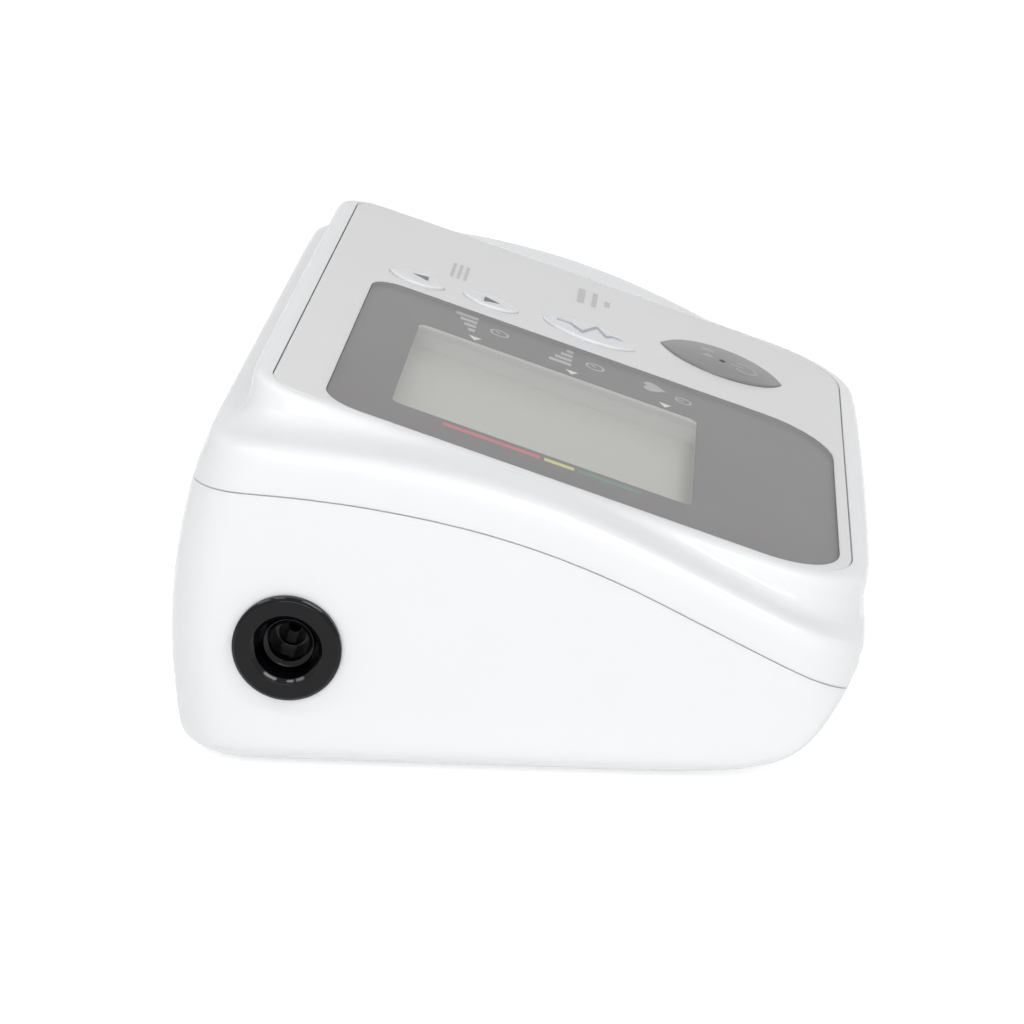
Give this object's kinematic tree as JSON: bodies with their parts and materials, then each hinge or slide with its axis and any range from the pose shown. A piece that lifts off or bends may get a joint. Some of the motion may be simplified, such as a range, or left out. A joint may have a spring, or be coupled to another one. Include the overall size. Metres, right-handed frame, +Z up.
{
  "type": "upper-arm blood pressure monitor",
  "caption": "Table-top main unit of an upper-arm blood pressure monitor: wedge-shaped white case, sloping panel with a display window and push buttons, air socket in its left side.",
  "frame": {"origin": "on the surface that the unit stands on, midway between its side walls and about midway between its front and back", "axes": "+X to the unit's right as its user sees it, +Y to its back, +Z up"},
  "size_m": [0.1413, 0.106, 0.0586],
  "materials": {
    "case_white": "gloss",
    "panel_white": "satin",
    "window_clear": "clear gloss",
    "mask_grey": "printed, smooth",
    "lcd_glass": "smooth",
    "holder_grey": "satin",
    "button_grey": "satin",
    "button_white": "satin",
    "socket_black": "gloss",
    "foot_rubber": "matt",
    "soft_black": "matt",
    "tube_clear": "milky",
    "board_green": "solder mask",
    "chip_black": "matt",
    "inner_white": "satin",
    "steel": "bright",
    "copper": "enamelled wire",
    "magnet": "matt",
    "cell_case": "printed wrap"
  },
  "bodies": {
    "case": {"lower_case": "case_white", "upper_case": "case_white", "rubber_feet": "foot_rubber", "case_screws": "steel", "front_panel": "panel_white", "display_window": "window_clear", "window_mask": "mask_grey", "lcd_glass": "lcd_glass", "lcd_holder": "holder_grey", "lcd_connectors": "soft_black", "main_board": "board_green", "board_chips": "chip_black", "board_screws": "steel", "buzzer": "chip_black", "pressure_sensor": "inner_white", "tact_switches": "chip_black", "battery_cells": "cell_case", "button_contacts": "steel", "spring_contacts": "steel", "air_socket": "socket_black", "socket_nut": "socket_black", "socket_tube": "tube_clear", "air_manifold": "inner_white", "pump_tube": "tube_clear", "sensor_tube": "tube_clear", "valve_tube": "tube_clear", "pump_motor": "steel", "motor_end_cap": "inner_white", "motor_magnets": "magnet", "pump_head": "inner_white", "pump_diaphragm": "soft_black", "pump_sleeves": "soft_black", "valve_frame": "steel", "valve_coil": "copper", "power_jack": "chip_black", "jack_pin": "steel"},
    "start_button": {"start_button": "button_grey", "start_switch_plunger": "chip_black"},
    "mode_button": {"mode_button": "button_white", "mode_switch_plunger": "chip_black"},
    "memory_down_button": {"memory_down_button": "button_white", "memory_down_switch_plunger": "chip_black"},
    "memory_up_button": {"memory_up_button": "button_white", "memory_up_switch_plunger": "chip_black"},
    "battery_cover": {"battery_cover": "case_white"},
    "motor_rotor": {"motor_rotor": "steel"},
    "valve_plunger": {"valve_plunger": "steel"}
  },
  "joints": [
    {"name": "start_press", "type": "slide", "parent": "case", "child": "start_button", "axis": [0, 0.3222, -0.9467], "range_m": [0, 0.0006], "stiffness_N_per_m": 900},
    {"name": "mode_press", "type": "slide", "parent": "case", "child": "mode_button", "axis": [0, 0.3222, -0.9467], "range_m": [0, 0.0006], "stiffness_N_per_m": 900},
    {"name": "memory_down_press", "type": "slide", "parent": "case", "child": "memory_down_button", "axis": [0, 0.3222, -0.9467], "range_m": [0, 0.0006], "stiffness_N_per_m": 900},
    {"name": "memory_up_press", "type": "slide", "parent": "case", "child": "memory_up_button", "axis": [0, 0.3222, -0.9467], "range_m": [0, 0.0006], "stiffness_N_per_m": 900},
    {"name": "battery_cover_slide", "type": "slide", "parent": "case", "child": "battery_cover", "axis": [0, 1, 0], "range_m": [0, 0.062]},
    {"name": "motor_spin", "type": "hinge", "parent": "case", "child": "motor_rotor", "pos_m": [0, 0.031, 0.0342], "axis": [1, 0, 0], "continuous": true},
    {"name": "valve_stroke", "type": "slide", "parent": "case", "child": "valve_plunger", "axis": [0, -1, 0], "range_m": [0, 0.001], "stiffness_N_per_m": 400}
  ]
}
